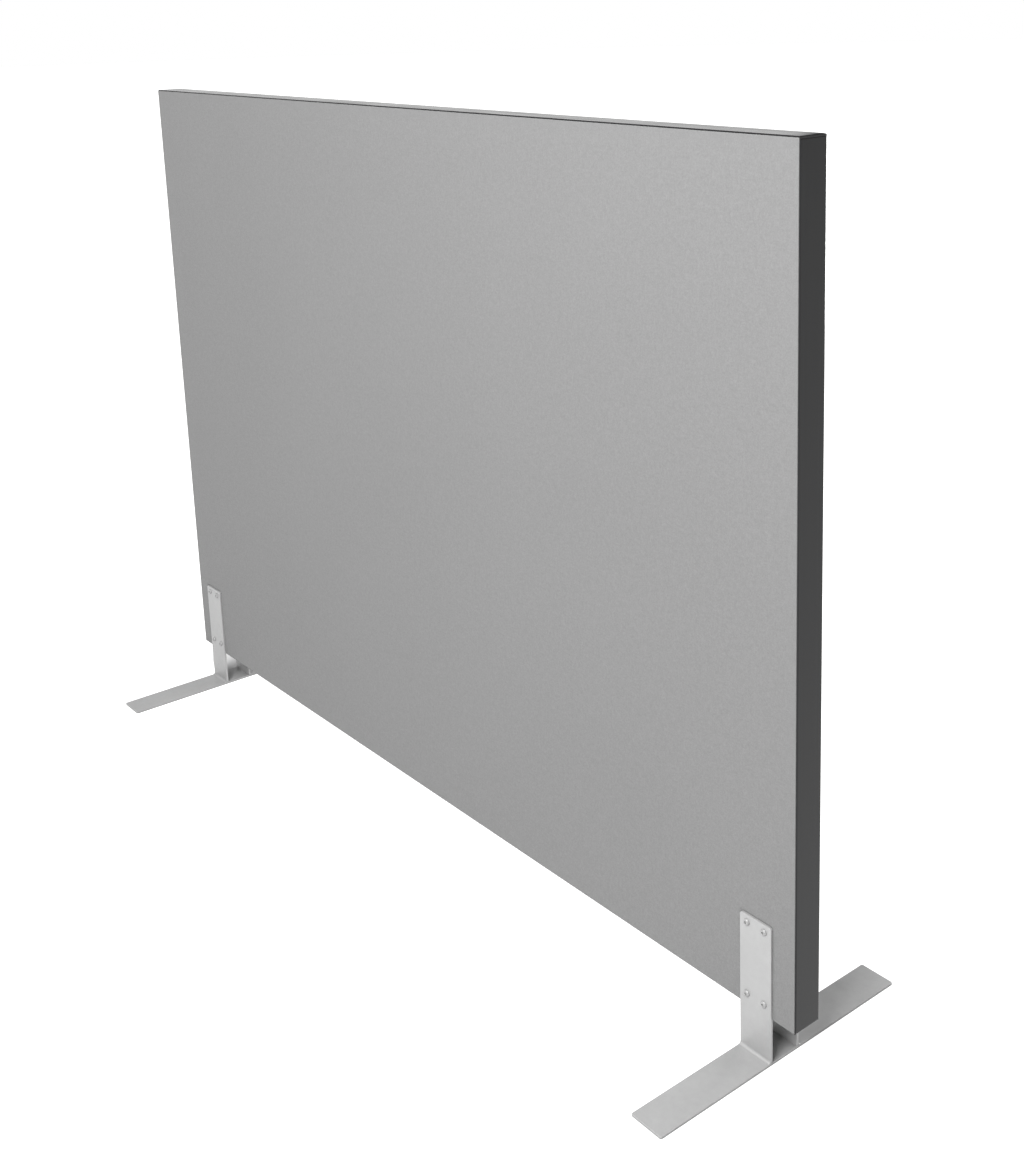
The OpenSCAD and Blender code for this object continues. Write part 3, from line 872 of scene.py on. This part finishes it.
# Studio: pale floor, white background, soft light that is strongest from the front right. In metres.
studio = {
    "floorColor": (0.35, 0.35, 0.35), "floorRoughness": 0.85, "floorRadius": 40,
    # The floor's glow is painted light, since the floor is no lamp. It fades beside the bars as a painted shade on
    # the feet.
    "floorGlow": (0.79, 0.87), "glowReach": (1.0, 3.4),  # near and far, and from where to where it changes
    "paintedShadeBesideFeet": (0.0, 0.01),  # share of the glow left at the bars' edges, and how far that reaches
    "seenGlow": 1.05,
    # Painted shadow on the floor left of the left foot, put there by place and cast by no lamp: from X outwards,
    # and from the front and back in Y
    "leftPaintedShadow": {
        "outwards": (-0.875, -1.03), "foot": (-0.82, -0.83), "front": (-0.01, 0.005), "back": (0.075, 0.05),
    },
    "background": 1.0,
    "key": {"place": (1.5, -2.4, 2.8), "aim": (0.2, 0, 0.8), "size": (1.6, 1.6), "watts": 190},
    "rear": {"place": (0.1, 3.0, 0.8), "aim": (0.0, 0, 0.75), "size": (1.3, 0.8), "watts": 50},
}
# Strengths of the room's light, and between which shares of each direction it comes up or fades
surroundings = {
    "overhead": 1.47, "overheadZ": (0.55, 0.95),
    "left": 0.65, "leftX": (-0.7, 0.0), "leftY": (-0.1, 0.15),
    "backdrop": 1.04, "backdropZ": (0.25, 0.6), "backdropEdge": 131.8, "edgeBlur": 0.5,  # degrees, +X towards +Y
    "rearRight": 0.9, "rearRightX": (0.0, 0.3), "rearRightY": (0.1, 0.4), "rearRightZ": (0.15, 0.45),
}


def areaLight(name, settings):
    data = bpy.data.lights.new(name, "AREA")
    data.shape = "RECTANGLE"
    data.size, data.size_y = settings["size"]
    data.energy = settings["watts"]
    lamp = bpy.data.objects.new(name, data)
    lamp.visible_camera = False
    bpy.context.scene.collection.objects.link(lamp)
    away = Vector(settings["place"]) - Vector(settings["aim"])
    lamp.matrix_world = Matrix.Translation(settings["place"]) @ away.to_track_quat("Z", "Y").to_matrix().to_4x4()


# The light of the room, given by direction: a bright ceiling, the left, a white backdrop behind at the left,
# and a glow behind at the right. The camera sees a plain background instead.
def makeSurroundings(sizes, background):
    world = bpy.data.worlds.new("surroundings")
    world.use_nodes = True
    toward = addNode(world, "ShaderNodeTexCoord").outputs["Generated"]
    parts = addNode(world, "ShaderNodeSeparateXYZ", {"Vector": toward}).outputs

    def smooth(value, low, high, fromLow, fromHigh):
        inputs = {"Value": value, "From Min": fromLow, "From Max": fromHigh, "To Min": low, "To Max": high}
        return addNode(world, "ShaderNodeMapRange", inputs, interpolation_type="SMOOTHSTEP").outputs["Result"]

    def both(a, b):
        return calc(world, "MULTIPLY", a, b)

    left = both(smooth(parts["X"], sizes["left"], 0, *sizes["leftX"]), smooth(parts["Y"], 1, 0, *sizes["leftY"]))
    overhead = smooth(parts["Z"], 0, sizes["overhead"], *sizes["overheadZ"])
    azimuth = both(calc(world, "ARCTAN2", parts["Y"], parts["X"]), 180 / math.pi)
    edge = sizes["backdropEdge"] - sizes["edgeBlur"], sizes["backdropEdge"] + sizes["edgeBlur"]
    backdrop = both(smooth(azimuth, 0, sizes["backdrop"], *edge), smooth(parts["Z"], 1, 0, *sizes["backdropZ"]))
    rearRight = smooth(parts["X"], 0, sizes["rearRight"], *sizes["rearRightX"])
    for axis in "YZ":
        rearRight = both(rearRight, smooth(parts[axis], 0, 1, *sizes["rearRight" + axis]))
    total = calc(world, "ADD", calc(world, "ADD", left, overhead), calc(world, "ADD", backdrop, rearRight))
    room = addNode(world, "ShaderNodeBackground", {"Color": (1, 1, 1, 1), "Strength": total})
    plain = world.node_tree.nodes["Background"]
    plain.inputs["Color"].default_value = (1, 1, 1, 1)
    plain.inputs["Strength"].default_value = background
    seen = addNode(world, "ShaderNodeLightPath").outputs["Is Camera Ray"]
    mixed = addNode(world, "ShaderNodeMixShader", {0: seen, 1: room.outputs[0], 2: plain.outputs[0]})
    world.node_tree.links.new(mixed.outputs[0], world.node_tree.nodes["World Output"].inputs["Surface"])
    bpy.context.scene.world = world


# The floor looks white to the camera, with a painted shadow left of the left foot. To every ray but the camera's,
# its glow is painted light that stands in for light thrown back up. It throws less light up beside the feet than
# further off, which is a painted shade on the feet.
def floorStrength(made, settings):
    place = objectPlace(made)
    away = addNode(made, "ShaderNodeVectorMath", {0: place}, operation="LENGTH").outputs["Value"]
    glow = spread(made, away, *settings["floorGlow"], *settings["glowReach"])
    parts = addNode(made, "ShaderNodeSeparateXYZ", {"Vector": place}).outputs
    fromMiddle = calc(made, "SUBTRACT", calc(made, "ABSOLUTE", parts["X"]), foot["middle"] * mm)
    beside = calc(made, "SUBTRACT", calc(made, "ABSOLUTE", fromMiddle), foot["barWidth"] / 2 * mm)
    beyond = calc(made, "SUBTRACT", calc(made, "ABSOLUTE", parts["Y"]), foot["length"] / 2 * mm)
    share, reach = settings["paintedShadeBesideFeet"]
    fromBar = calc(made, "MAXIMUM", beside, beyond)
    glow = calc(made, "MULTIPLY", glow, spread(made, fromBar, share, 1, 0, reach))
    # Painted shadow: the floor that the camera sees is darkened left of the left foot by place, not by a lamp
    left = settings["leftPaintedShadow"]
    dark = spread(made, parts["X"], 1, 0, *left["outwards"])
    for axis, edge in (("X", "foot"), ("Y", "front"), ("Y", "back")):
        dark = calc(made, "MULTIPLY", dark, spread(made, parts[axis], 0, 1, *left[edge]))
    shade = calc(made, "SUBTRACT", 1, dark)
    seen = calc(made, "MULTIPLY", shade, settings["seenGlow"])
    toCamera = addNode(made, "ShaderNodeLightPath").outputs["Is Camera Ray"]
    return addNode(made, "ShaderNodeMix", {0: toCamera, 2: glow, 3: seen}).outputs[0]


def makeStudio(settings):
    bm = bmesh.new()
    bmesh.ops.create_circle(bm, cap_ends=True, radius=settings["floorRadius"], segments=96)
    mesh = bpy.data.meshes.new("floor")
    bm.to_mesh(mesh)
    bm.free()
    pale = newMaterial("paleFloor", settings["floorColor"], settings["floorRoughness"])
    glow = floorStrength(pale, settings)
    pale.node_tree.links.new(glow, pale.node_tree.nodes["Principled BSDF"].inputs["Emission Strength"])
    mesh.materials.append(pale)
    floor = bpy.data.objects.new("floor", mesh)
    bpy.context.scene.collection.objects.link(floor)
    makeSurroundings(surroundings, settings["background"])
    areaLight("keyLight", settings["key"])
    areaLight("rearLight", settings["rear"])
    bpy.context.scene.view_settings.view_transform = "Standard"


makeStudio(studio)
print("studio lit")
